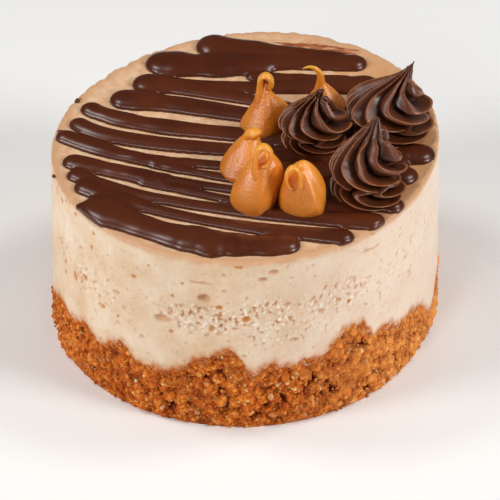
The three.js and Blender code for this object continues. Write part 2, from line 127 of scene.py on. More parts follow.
# ragged pits: their noise, the level and edge at which it becomes a pit, and how flocks bring them on
PIT_WAVES = [(1.0, 2.1, 4.4), (0.6, 1.0, 6.1)]
PIT_LEVEL, PIT_EDGE, FLOCK_PULL = 0.55, 0.35, 0.45
LONE_DEPTH, FLOCK_DEPTH = 0.3, 0.5
CURD_SIZE, CURD_RISE = 1.2, 0.35  # curds that stand out between the pits, with a painted highlight where they stand highest
CURD_HIGHLIGHT_GAIN, CURD_HIGHLIGHT_LEVEL, CURD_HIGHLIGHT_CLEAR = 3, 0.3, 0.1
# how strongly pits, lone pits and dent beds are painted with shade
PIT_SHADE, LONE_PIT_SHADE, DENT_SHADE = 1.1, 0.5, 0.6
SCATTERED_PITS = 200
SMALLEST_PIT, LARGEST_PIT, PIT_RARITY = 0.3, 1.0, 6.5
PIT_HEIGHTS = (26, 77)
PIT_WIDTHS, PIT_TALLNESS, PIT_DEPTH = (1, 1.6), (0.7, 1), 0.8  # as shares of a pit's size
HOLLOW_ROUNDNESS, BED_ROUNDNESS = 0.6, 0.35
# smooth dents of the side as (azimuth, height, half-width, half-height, depth)
DENTS = [
    (258, 62, 2.8, 1.9, 1.8), (246, 48.5, 3.4, 1.7, 1.8), (277, 74.5, 2.2, 1.2, 1.2),
    (283, 41, 1.8, 0.8, 0.9), (225, 42, 2.0, 1.2, 0.9), (257, 69, 4.5, 0.5, 0.7),
    (308.4, 71.9, 4.6, 0.9, 2.2), (274, 71.5, 2.0, 0.9, 1.2),
]
# flakes that stand out of the side, as dents are given
FLAKES = [(309.2, 79, 1.3, 1.2, 1.3), (309, 73.6, 5.0, 0.9, 1.1)]
# pits with toffee-coloured beds, as dents are given, and the share of its depth that each is sunk
FLECK_DEPTH = 0.45
FLECKS = [
    (203, 54, 0.6, 2.2, 0.5), (206, 47.2, 0.8, 1.7, 0.6), (206.2, 42.2, 0.8, 1.5, 0.7),
    (212.5, 45.8, 1.4, 2.2, 0.8), (217.8, 50, 1.4, 1.6, 0.6), (221, 66.8, 0.8, 1.3, 0.8),
    (237, 64.2, 1.4, 0.9, 1.0), (231.3, 41.5, 0.7, 0.8, 0.6), (225.5, 42, 0.9, 1.0, 0.7),
    (251.8, 67.5, 0.9, 0.5, 0.6), (249, 60.8, 0.9, 0.6, 0.7), (241.8, 71.8, 0.9, 0.4, 0.5),
    (262.2, 58.5, 1.5, 1.0, 1.2), (269.5, 53, 1.8, 1.5, 1.8), (248.5, 43.5, 1.1, 0.8, 0.9),
    (300, 52, 1.2, 1.0, 0.9), (267.5, 77.8, 2.0, 0.8, 0.1), (195, 77, 1.2, 1.6, 0.1),
    (199.5, 75.5, 0.9, 2.2, 0.1), (204, 74.8, 1.4, 1.4, 0.1), (207, 77.2, 0.8, 1.0, 0.1),
    (213, 76.2, 1.2, 0.9, 0.1), (222, 74.4, 0.8, 1.0, 0.1),
]

# Drizzle strokes through three points of the top face, with a half-width at each
STROKES = [
    ((-13.5, 67.5, 8.0), (12, 63, 5.5), (38, 59.6, 3.2)),
    ((-33.5, 55, 8.4), (-14, 53.2, 7.9), (6, 54, 6.4)),
    ((0, 54.6, 6.0), (22, 55.4, 4.9), (43, 55.2, 5.8)),
    ((2, 45.6, 3.0), (18, 44.6, 2.8), (40, 42.8, 3.2)),
    ((-40, 40.3, 6.9), (0, 37.6, 3.9), (47, 39.5, 6.4)),
    ((-30, 37.5, 3.9), (-8, 31.6, 3.7), (14, 25, 3.4)),
    ((-49, 29.2, 6.9), (-25, 24.6, 5.5), (4, 16.8, 5.2)),
    ((-62.5, 22.3, 4.7), (-40, 11.9, 4.9), (2, 4, 4.6)),
    ((-67, 11.8, 4.6), (-45, 0.9, 4.4), (0, -6.4, 4.2)),
    ((-75, 7, 1.0), (-73, 5.2, 2.4), (-69, 2, 3.4)),
    ((-72, 3, 4.6), (-48, -9.6, 4.2), (-28, -15, 3.8)),
    ((-36, -12.5, 3.0), (-20, -15, 2.8), (0, -18, 3.0)),
    ((-36, -15.8, 3.0), (-20, -21.2, 2.4), (0, -27, 2.6)),
    ((-68, -14, 5.2), (-50, -20.8, 4.9), (-33, -26.8, 5.0)),
    ((-38, -24.2, 3.2), (-20, -28.8, 2.5), (0, -34, 2.6)),
    ((-40, -27.5, 3.0), (-22, -34, 2.5), (0, -42, 2.6)),
    ((-67, -23, 4.6), (-22, -42.3, 3.2), (47.6, -53.8, 5.4)),
    ((-62.5, -31, 5.2), (-22, -50.9, 3.2), (36, -63.6, 5.0)),
    ((-66.5, -44.4, 0.9), (-63, -43.4, 3.2), (-56, -44, 7.0)),
    ((-56.5, -46, 9.2), (-36, -59, 6.8), (-14, -68, 8.8)),
    ((-22, -64.8, 8.4), (-4, -68.6, 7.0), (14.5, -68.6, 6.4)),
    ((46, 20, 4.0), (58, 19.5, 5.0), (67, 19.6, 6.4)),
    ((44, -7, 4.0), (56, -8, 5.2), (67.5, -8.8, 6.8)),
    ((48, -21.5, 4.0), (55, -22.6, 4.8), (60.8, -23.2, 6.2)),
    ((46, -41, 4.0), (51, -42.3, 4.6), (55.8, -43.2, 5.6)),
]
# the same strokes where they run on between the toppings' feet
UNDER_STROKES = [
    ((0, -8.5, 3.6), (20, -9, 6.0), (46, -7, 5.0)), ((0, -18, 3.4), (20, -20, 6.0), (50, -21, 5.0)),
    ((2, -29, 4.5), (20, -31, 6.0), (46, -31, 6.0)), ((4, -40, 4.0), (20, -41, 5.4), (44, -43, 5.4)),
    ((2, 4.5, 4.0), (18, 2, 6.0), (46, 4, 6.0)), ((10, 24, 4.0), (24, 22, 4.0), (48, 20, 4.0)),
    ((4, 16, 4.6), (20, 13, 5.4), (44, 12, 6.0)), ((-10, 59, 4.0), (4, 56.5, 4.5), (16, 56, 3.5)),
    ((46, -14, 4.0), (54, -14.6, 4.2), (60, -15, 3.4)),
]
STROKE_FLAT_RISE = 1.3
STROKE_RISE_PER_WIDTH = 0.31
DRIZZLE_REACH = 0.3  # how far past the rim the drizzle may hang
STROKE_ROUNDNESS = 0.95
STROKE_SINK = 1.0  # how deep a stroke's underside lies in the filling
WIDTH_RIPPLE, RISE_RIPPLE = 0.05, 0.04
STROKE_SIDES, STROKE_STEPS = 20, 60
DRIZZLE_VOXEL, DRIZZLE_SMOOTHING = 0.65, 5

# Caramel drops: foot, radius, height, lean and how late the body narrows, then the tail.
# A facet is (azimuth, tilt, distance from the axis). A ridge is (azimuth at the foot, azimuth at the tip,
# rise, degrees to its near side, degrees to its far side, share of the height where it is highest, spread).
DROPS = [
    dict(at=(6.2, 9.8), radius=10.6, height=22, lean=(1, 1.2), plump=1.0, waist=1.1, facets=[(235, 36, 6.6)],
         ridges=[(10, 20, 4.2, 55, 55, 0.42, 0.25), (262, 285, 0.7, 40, 40, 0.3, 0.4)],
         tail=dict(start=(-1.3, 1.2, 10), rise=11.2, bend=2.2, stretch=1.5, azimuth=350, turn=235, thick=1.35,
                   wide=2.4, root=1.3, tip=0.85)),
    dict(at=(-1.6, -19.4), radius=9.9, height=18.5, lean=(4.2, 2.4), plump=1.4, waist=0.8,
         facets=[(225, 34, 5.8)],
         ridges=[(275, 290, 0.8, 40, 40, 0.4, 0.4), (240, 240, 0.9, 70, 70, 0.06, 0.1)],
         tail=dict(start=(2.4, 1.6, 6), rise=9.4, bend=3.0, stretch=0.8, azimuth=318, turn=125, thick=2.9,
                   wide=3.7, root=0.8, tip=0.72)),
    dict(at=(2, -42), radius=9.2, height=24, lean=(5, 3), plump=1.9, waist=0.75, facets=[(318, 5, 7.6)],
         ridges=[(290, 282, 1.1, 50, 30, 0.1, 0.4), (0, 16, 4.0, 70, 60, 0.62, 0.3)],
         tail=dict(start=(0.9, -2.2, 13), rise=11.6, bend=3.0, stretch=1.5, azimuth=0, turn=290, thick=1.05,
                   wide=2.0, root=0.6, tip=1.0)),
    dict(at=(20.9, -44), radius=9.1, height=21.5, lean=(0.4, 1), plump=2.5, waist=0.66,
         facets=[(248, 16, 6.6)],
         ridges=[(318, 262, 2.4, 46, 30, 0.35, 0.5), (0, 10, 0.8, 50, 50, 0.5, 0.3)],
         tail=dict(start=(-0.8, -4.4, 14), rise=3.4, bend=2.7, stretch=1.8, azimuth=180, turn=290, thick=0.85,
                   wide=1.9, root=0.6, tip=0.8)),
    dict(at=(31, 23.5), radius=9.8, height=14, lean=(-2, 0), plump=1.0, waist=0.9, facets=[],
         ridges=[(200, 240, 0.7, 40, 40, 0.3, 0.4)],
         tail=dict(start=(-2.0, 0, 4), rise=10.6, bend=4.6, stretch=1.15, azimuth=180, turn=130, thick=2.6,
                   wide=2.6, root=0.9, tip=0.12)),
]
DROP_SIDES, DROP_ROWS = 48, 40
TAIL_SIDES, TAIL_ROWS = 24, 62
DROP_VOXEL, DROP_SMOOTHING = 0.22, 7
DROP_FOOT, DROP_FOOT_REACH = 0.84, 0.14  # the foot's width and how far up it rounds out, as shares
FACET_LEVEL = 0.35  # share of a drop's height at which a facet's distance is measured
FACET_FLATNESS = 0.85
ROOT_FADE = 1.5  # how fast a tail's swollen root thins
TAIL_END, TAIL_BLUNTNESS = 0.06, 0.2  # share of a tail that rounds off, and the least width left there
LIT_TOP_FROM = 0.55  # share of a drop's height from which painted light makes it brighter
FOOT_SHADE, FOOT_SHADE_DARKNESS = 7.0, 0.7  # how far up a drop the painted shade at its foot reaches, and how dark it is
CARAMEL_GRAIN = 0.65  # size and height of the grains in a drop's skin
CARAMEL_GRAIN_RISE = 0.075

# Flecks on the rim as a place and a size, and the scrape's streaks like strokes
SPATTER = [
    ((-68.5, 28, 80.2), 1.15), ((-67, 30.2, 79.6), 0.5), ((-76, -21.5, 78.6), 0.75),
    ((-75.2, -23, 79.2), 0.4), ((74.6, 12.6, 78.9), 0.8), ((73.8, 14, 79.4), 0.4), ((66, 37, 79.5), 0.35),
    ((-40, 62, 79.6), 0.35),
]
SCRAPES = [
    ((10, 71.3, 0.8), (27, 67.9, 1.3), (47, 63.4, 0.9)),
    ((14, 69.6, 0.5), (30, 66.2, 0.8), (46, 62.2, 0.5)),
    ((24, 70.6, 0.4), (36, 67.4, 0.7), (46, 64.8, 0.4)),
]
SCRAPE_RISE = 0.6
SCRAPE_WIDTH_RIPPLE, SCRAPE_RISE_RIPPLE = 0.35, 0.4
SCRAPE_SIDES = 10

# Chocolate rosettes: foot, radius, height, lean of the tip, sideways sway of the middle, azimuth of a fin at
# the tip, how slim the upper tier is, the tip's half-width and how wide the lower tier is beside the upper
ROSETTES = [
    dict(at=(25.2, -0.5), radius=14.6, height=25, lean=(3.4, 0), sway=0.5, start=12, slim=1.0, blunt=2.8,
         skirt=0.86),
    dict(at=(56.5, 8.2), radius=17.3, height=28.5, lean=(9, 6.4), sway=-2.4, start=30, slim=1.4, blunt=0.3,
         skirt=1.0),
    dict(at=(46.4, -35), radius=14.6, height=32, lean=(3.6, 6), sway=-0.8, start=20, slim=0.85, blunt=1.0,
         skirt=1.0),
]
FINS = 9
FIN_CROWDING = 0.48  # how much closer together the fins are on the left than on the right
# depth of the grooves as a share of the radius, by share of the height
GROOVE_SHARES = [0, 0.5, 0.8, 1.0]
GROOVE_DEPTHS = [0.54, 0.54, 0.66, 0.66]
FIN_ROUGHNESS = 0.6
FIN_REACHES = (0.88, 1.06)  # how far out the fins reach, as shares of the radius
FIN_BEND = 6  # how far a fin may stray from its place at the tip, in degrees
# how far a fin's edge turns out where a tier is widest, most on the side where the nozzle left
LIP, LIP_LEAST, LIP_AZIMUTH = 2.2, 0.2, 335
LIP_THINNESS = 5
LIP_LIFT = 0.6
FLARES = [(0.11, 0.05), (0.38, 0.06)]  # where the edges turn out and their spread, as shares of the height
TEAR_FROM = 0.72  # share of the height from which fins may be torn off
TEAR_LENGTH, TEAR_DEPTH = 0.03, 0.6
TEAR_SIZE, TEAR_LIFT = 0.55, 0.5
LEAN_CURVE = 2.4  # how late the tip leans
SWAY_TOP = 0.85  # share of the height where the sway ends
ROSETTE_ROWS = 150
FIN_STEPS = 18
FIN_BACK = 0.3  # share of the way to the next fin that a fin's steep back takes
FIN_SHARPNESS = 0.12  # how closely the steps crowd at a fin's edge
FIN_WAVES = 6.0  # waves along a fin's edge
FIN_WANDER = 11.0  # how far the waves swing an edge, in degrees
LOBE = 2.0  # how round the lobe is between a groove and the next fin's edge
# the two tiers: width as a share of the radius, by share of the height
TIER_SHARES = [0, 0.05, 0.10, 0.17, 0.22, 0.25, 0.29, 0.36, 0.45, 0.52, 0.60, 0.68, 0.76, 0.84, 0.92, 1.0]
TIER_WIDTHS = [0.78, 0.92, 0.96, 0.91, 0.80, 0.74, 0.86, 0.99, 0.97, 0.87, 0.72, 0.58, 0.44, 0.31, 0.17, 0.03]
CREASE = 0.25  # share of the height where the tiers meet
# how far each fin has swung round, in degrees, by share of the height
SWING_SHARES = [0, 0.05, 0.12, 0.19, 0.23, 0.28, 0.34, 0.42, 0.52, 0.64, 0.80, 1.0]
SWING_TURNS = [158, 128, 88, 58, 50, 92, 76, 46, 24, 10, 2, 0]
EASING = 8  # rows on either side over which these tables are eased

# Floor, lights and camera: a softbox is (name, place and width in metres, watts)
FLOOR_HALF = 3000
SOFTBOXES = [
    ("right_softbox", (1.2, -0.55, 0.85), 0.5, 12.6), ("left_softbox", (-1.2, -0.5, 0.85), 0.5, 9.6),
    ("front_softbox", (-0.55, -1.15, 0.95), 0.4, 3.6), ("upper_left_softbox", (-0.75, 0.25, 1.25), 0.4, 4.8),
    ("upper_right_softbox", (0.75, 0.25, 1.25), 0.4, 5),
]
LIT_PLACE = (0, 0, 0.05)
WORLD_STRENGTH = 0.06
CAMERA_CENTRE = (0.85, -6.4, 31.3)
CAMERA_ELEVATION = 36.67
CAMERA_DISTANCE = 1.605
CAMERA_LENS, CAMERA_SENSOR = 288, 36


def linear(hex_colour):
    """An sRGB hex colour as linear red, green, blue and alpha."""
    channels = [int(hex_colour[i:i + 2], 16) / 255 for i in (1, 3, 5)]
    return [c / 12.92 if c <= 0.04045 else ((c + 0.055) / 1.055) ** 2.4 for c in channels] + [1.0]


def add(material, kind, inputs=None, stops=None, **settings):
    """Add a node, set its properties and colour stops, and set or link its inputs.

    An input is a number, a colour, a socket, or a node that stands for its own first output.
    """
    node = material.node_tree.nodes.new(kind)
    for name, value in settings.items():
        setattr(node, name, value)
    for name, value in (inputs or {}).items():
        if isinstance(value, bpy.types.Node):
            value = value.outputs[0]
        if isinstance(value, bpy.types.NodeSocket):
            material.node_tree.links.new(value, node.inputs[name])
        else:
            node.inputs[name].default_value = value
    for i, (position, colour) in enumerate(stops or []):
        elements = node.color_ramp.elements
        stop = elements[i] if i < 2 else elements.new(position)
        stop.position = position
        stop.color = linear(colour)
    return node


def new_material(name):
    """An empty material, for nodes to be added to."""
    material = bpy.data.materials.new(name)
    material.use_nodes = True
    material.node_tree.nodes.clear()
    return material


def surface(material, **inputs):
    """Close a material with its shader, whose inputs are given as a node's are."""
    names = {name.replace("_", " "): value for name, value in inputs.items()}
    shader = add(material, "ShaderNodeBsdfPrincipled", names)
    add(material, "ShaderNodeOutputMaterial", {"Surface": shader})
    return material


def link(name, mesh):
    """A mesh as a smooth object in the scene."""
    mesh.shade_smooth()
    obj = bpy.data.objects.new(name, mesh)
    bpy.context.scene.collection.objects.link(obj)
    return obj


def to_object(name, bm):
    """A bmesh in millimetres as an object in metres."""
    bmesh.ops.scale(bm, vec=(MM, MM, MM), verts=bm.verts)
    mesh = bpy.data.meshes.new(name)
    bm.to_mesh(mesh)
    bm.free()
    return link(name, mesh)


def piece(obj, material, slot, *nodes):
    """Finish a piece: its material, its body, its slot, which is not used, and the solids that it stands for.
    """
    obj.data.materials.append(material)
    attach(obj, "root")
    if nodes:
        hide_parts(*nodes)
    return obj


def keep_values(obj, name, values):
    """Store one number for each vertex, for a material to read."""
    attribute = obj.data.attributes.new(name, "FLOAT", "POINT")
    attribute.data.foreach_set("value", np.asarray(values, dtype=np.float32))


def pebbles(name, grains, seed):
    """One object of many rough pebbles, each given as (x, y, z, size, label). Labels are kept as grain."""
    shapes = []
    for subdivisions in (1, 2):
        ball = bmesh.new()
        bmesh.ops.create_icosphere(ball, subdivisions=subdivisions, radius=1)
        corners = np.array([vert.co[:] for vert in ball.verts])
        shapes.append((corners, [[vert.index for vert in face.verts] for face in ball.faces]))
        ball.free()
    draw = np.random.default_rng(seed)
    places, faces, labels = [], [], []
    start = 0
    for x, y, z, size, label in grains:
        corners, sides = shapes[1 if size > FINE_PEBBLE else 0]
        ways = draw.uniform(-PEBBLE_WAVES, PEBBLE_WAVES, (3, 3))
        waves = np.sin(corners @ ways + draw.uniform(0, PEBBLE_PHASES, 3)).sum(axis=1)
        rough = corners * (1 + PEBBLE_RELIEF * waves)[:, None] * draw.uniform(*PEBBLE_STRETCH, 3)
        places.append(rough * size + (x, y, z))
        faces += [[start + corner for corner in side] for side in sides]
        labels += [label] * len(corners)
        start += len(corners)
    mesh = bpy.data.meshes.new(name)
    mesh.from_pydata((np.concatenate(places) * MM).tolist(), [], faces)
    obj = link(name, mesh)
    keep_values(obj, "grain", labels)
    # painted shade: every pebble gets the same, mostly lit value
    keep_values(obj, "depth", [PEBBLE_RELIEF_SHADE] * len(labels))
    return obj


def grid(bm, across, along, place):
    """Add a grid to bm, wrapped by place(u, v), which gives x, y, z for shares u across and v along."""
    made = bmesh.ops.create_grid(bm, x_segments=across, y_segments=along, size=0.5)
    verts = made["verts"]
    flat = np.array([vert.co[:2] for vert in verts]) + 0.5
    places = np.stack(place(flat[:, 0], flat[:, 1]), axis=1)
    for vert, co in zip(verts, places.tolist()):
        vert.co = co
    return verts


def close(bm, distance=1e-4):
    """Merge the seams and poles of wrapped grids and turn their faces outwards."""
    bmesh.ops.remove_doubles(bm, verts=bm.verts, dist=distance)
    bmesh.ops.recalc_face_normals(bm, faces=bm.faces)


def wrapped(name, across, along, place, values):
    """An object of one wrapped grid, with the numbers for its material that place leaves in values."""
    bm = bmesh.new()
    layers = {kind: bm.verts.layers.float.new(kind) for kind in values}
    verts = grid(bm, across, along, place)
    for kind, layer in layers.items():
        for vert, value in zip(verts, values[kind].tolist()):
            vert[layer] = value
    close(bm)
    return to_object(name, bm)


def fused(bm, voxel, smoothing):
    """The shapes of a bmesh melted into one skin with soft joins."""
    mesh = bpy.data.meshes.new("melt")
    bm.to_mesh(mesh)
    bm.free()
    obj = bpy.data.objects.new("melt", mesh)
    bpy.context.scene.collection.objects.link(obj)
    remesh = obj.modifiers.new("melt", "REMESH")
    remesh.mode = "VOXEL"
    remesh.voxel_size = voxel
    melted = bpy.data.meshes.new_from_object(obj.evaluated_get(bpy.context.evaluated_depsgraph_get()))
    result = bmesh.new()
    result.from_mesh(melted)
    bpy.data.objects.remove(obj)
    bpy.data.meshes.remove(mesh)
    bpy.data.meshes.remove(melted)
    for _ in range(smoothing):
        bmesh.ops.smooth_vert(
            result, verts=result.verts, factor=0.5, use_axis_x=True, use_axis_y=True, use_axis_z=True
        )
    return result


def wander(seed, waves, lowest, highest):
    """A smooth wavy function of an angle in radians, from -1 to 1, that repeats all round."""
    draw = random.Random(seed)
    terms = [(draw.randint(lowest, highest), draw.uniform(0, 2 * math.pi)) for _ in range(waves)]
    return lambda angle: sum(np.sin(k * angle + phase) for k, phase in terms) / math.sqrt(waves)


def noise_at(points, size, offset=0.0):
    """Smooth noise from about -1 to 1 at each point, with features about size across."""
    shift = Vector((offset, offset, offset))
    return np.array([noise.noise(Vector(p) / size + shift) for p in points])


def waves_at(points, waves):
    """Noise of several sizes added up at each point, each wave given as (rise, size, offset)."""
    return sum(rise * noise_at(points, size, offset) for rise, size, offset in waves)


def cells_at(points, size):
    """For each point, its share of the way from a cell's middle, and a number from 0 to 1 for the cell."""
    away = np.empty(len(points))
    label = np.empty(len(points))
    for i, p in enumerate(points):
        distances, middles = noise.voronoi(Vector(p) / size)
        away[i] = distances[0]
        wave = math.sin(sum(part * k for part, k in zip(middles[0], SCRAMBLE))) * SCRAMBLE_GAIN
        label[i] = wave - math.floor(wave)
    return away, label


def plan_radius(azimuth, height):
    """Radius of the cake's side, slightly oval and three-sided, and wider at the foot."""
    oval = OVAL_SWING * np.cos(2 * (azimuth - math.radians(OVAL_AZIMUTH)))
    three_sided = THREE_SIDED_SWING * np.cos(3 * (azimuth - math.radians(THREE_SIDED_AZIMUTH)))
    return (CAKE_RADIUS + oval + three_sided) * (1 + FOOT_FLARE * (1 - height / CAKE_HEIGHT))


def degrees_from(middle, azimuth):
    """Degrees round the cake from a middle to each azimuth, from -180 to 180."""
    return (np.degrees(azimuth) - middle + 900) % 360 - 180


def all_tongues():
    """The tongues of crumb that are placed one by one, and the evenly spaced ones at the back."""
    step = (BACK_TO - BACK_FROM) / (BACK_TONGUES - 1)
    back = [(BACK_FROM + i * step, BACK_RISES[i % len(BACK_RISES)], BACK_SPREAD) for i in range(BACK_TONGUES)]
    return TONGUES + back


def edge_heights():
    """Heights, at even steps round the cake, of the ragged line where the crumb meets the filling."""
    azimuth = np.linspace(0, 2 * math.pi, EDGE_STEPS + 1)
    around = np.stack([CAKE_RADIUS * np.cos(azimuth), CAKE_RADIUS * np.sin(azimuth), 0 * azimuth], axis=1)
    height = CRUMB_LEVEL + waves_at(around, EDGE_WAVES)
    for middle, rise, spread in all_tongues():
        height = height + rise * np.exp(-((degrees_from(middle, azimuth) / spread) ** 2))
    return azimuth, height


crumb_line = edge_heights()


def crumb_edge(azimuth):
    """Height of the line where the crumb meets the filling."""
    return np.interp(azimuth % (2 * math.pi), *crumb_line)


def round_about(azimuth, radius, height):
    """Places as x, y and z."""
    return radius * np.cos(azimuth), radius * np.sin(azimuth), height


def azimuth_at(u):
    """Azimuth of a share of the steps round the cake, with steps crowded at the front."""
    return 2 * math.pi * u - FRONT_CROWDING * np.sin(2 * math.pi * (u - 0.75))


def crumb_wall():
    """The pressed crumb: clumps, grains and hollows on its side, closed inside the cake."""
    side_top = CRUMB_ROWS + 1
    rows = side_top + len(CRUMB_CLOSING) + 1
    values = dict.fromkeys(("grain", "depth"))

    def place(u, v):
        azimuth = azimuth_at(u)
        row = np.rint(v * rows)
        edge = crumb_edge(azimuth)
        share = np.clip((row - 1) / CRUMB_ROWS, 0, 1)
        height = (edge + CRUMB_OVERLAP) * share
        radius = plan_radius(azimuth, height)
        points = np.stack(round_about(azimuth, radius, height), axis=1)
        on_side = (row >= 1) & (row <= side_top)
        clump, _ = cells_at(points, CLUMP_SIZE)
        grain, values["grain"] = cells_at(points, GRAIN_SIZE)
        gap = np.clip(noise_at(points, GAP_SIZE, 3.1) - GAP_LEVEL, 0, 1)
        relief = CLUMP_RISE * (1 - (clump / CLUMP_REACH) ** 2) + GRAIN_RISE * (1 - (grain / GRAIN_REACH) ** 2)
        relief = relief + FINE_CRUMB_RISE * noise_at(points, FINE_CRUMB_SIZE) - GAP_DEPTH * gap
        loose = np.clip(LOOSE_USUAL + LOOSE_SWING * noise_at(points, LOOSE_SIZE, 8.3), *LOOSE_RANGE)
        relief = relief * loose
        foot = np.clip(height / CRUMB_FOOT, CRUMB_FOOT_RELIEF, 1)
        under = np.clip((height - edge + CRUMB_OVERLAP) / (2 * CRUMB_OVERLAP), 0, 1)
        radius = np.where(on_side, radius - CRUMB_INSET + relief * foot - CRUMB_TUCK * under ** 2, radius)
        for i, inwards in enumerate(CRUMB_CLOSING, 1):
            radius = np.where(row == side_top + i, radius - inwards, radius)
        radius = np.where((row == 0) | (row == rows), 0, radius)
        height = np.where(row > side_top + 1, CRUMB_LEVEL, height)
        # painted shade: sunk relief gives a darker crumb colour
        values["depth"] = np.clip(RELIEF_SHADE_MIDDLE + relief / RELIEF_SHADE_RANGE, 0, 1)
        return round_about(azimuth, radius, height)

    return wrapped("crumb_wall", AROUND, rows, place, values)


def crumb_grains():
    """Loose-edged grains that stand out of the crumb's side, one mesh."""
    draw = random.Random(23)
    grains = []
    for i in range(LOOSE_GRAINS):
        azimuth = float(azimuth_at(draw.random()))
        size = min(LARGEST_GRAIN, SMALLEST_GRAIN + draw.expovariate(GRAIN_RARITY))
        edge = float(crumb_edge(azimuth))
        height = draw.uniform(size * 0.9, edge + 0.2)
        if i % EDGE_GRAINS == 0:
            size = draw.uniform(*EDGE_GRAIN_SIZES)
            height = edge + draw.uniform(*EDGE_GRAIN_RISES)
        radius = float(plan_radius(azimuth, height)) - GRAIN_SINK * size + draw.uniform(*GRAIN_STANDING)
        x, y, z = round_about(azimuth, radius, height)
        grains.append((x, y, z, size, draw.random()))
    return pebbles("crumb_grains", grains, 23)


def scattered_pits():
    """Small lone pits all round the filling's side, as dents are given."""
    draw = random.Random(41)
    found = []
    for _ in range(SCATTERED_PITS):
        half = min(LARGEST_PIT, SMALLEST_PIT + draw.expovariate(PIT_RARITY))
        place = (draw.uniform(0, 360), draw.uniform(*PIT_HEIGHTS))
        wide = half * draw.uniform(*PIT_WIDTHS)
        tall = half * draw.uniform(*PIT_TALLNESS)
        found.append((*place, wide, tall, half * PIT_DEPTH))
    return found


def hollows(azimuth, height, found):
    """How deep the side is sunk at each place by the hollows found, and how much each place is their bed."""
    sunk = np.zeros_like(azimuth)
    bed = np.zeros_like(azimuth)
    arc = math.radians(1) * CAKE_RADIUS
    for middle, level, half_width, half_height, depth in found:
        across = degrees_from(middle, azimuth) * arc / half_width
        near = (np.abs(across) < 1) & (np.abs(height - level) < half_height)
        reach = across[near] ** 2 + ((height[near] - level) / half_height) ** 2
        inside = np.clip(1 - reach, 0, 1)
        sunk[near] = np.maximum(sunk[near], depth * inside ** HOLLOW_ROUNDNESS)
        bed[near] = np.maximum(bed[near], inside ** BED_ROUNDNESS)
    return sunk, bed


def crumbly(azimuth, height, points):
    """How crumbly the side is at each place, from 0 to 1, and how deep its ragged small pits are there."""
    flock = np.zeros_like(azimuth)
    for middle, level, spread, rise, strength in PIT_FLOCKS:
        away = degrees_from(middle, azimuth) / spread
        near = FLOCK_FULLNESS * np.exp(-(away ** 2) - ((height - level) / rise) ** 2)
        flock = np.maximum(flock, strength * np.minimum(near, 1))
    rough = waves_at(points, PIT_WAVES)
    pits = np.clip((rough - PIT_LEVEL + FLOCK_PULL * flock) / PIT_EDGE, 0, 1)
    return flock, pits * (LONE_DEPTH + FLOCK_DEPTH * flock)


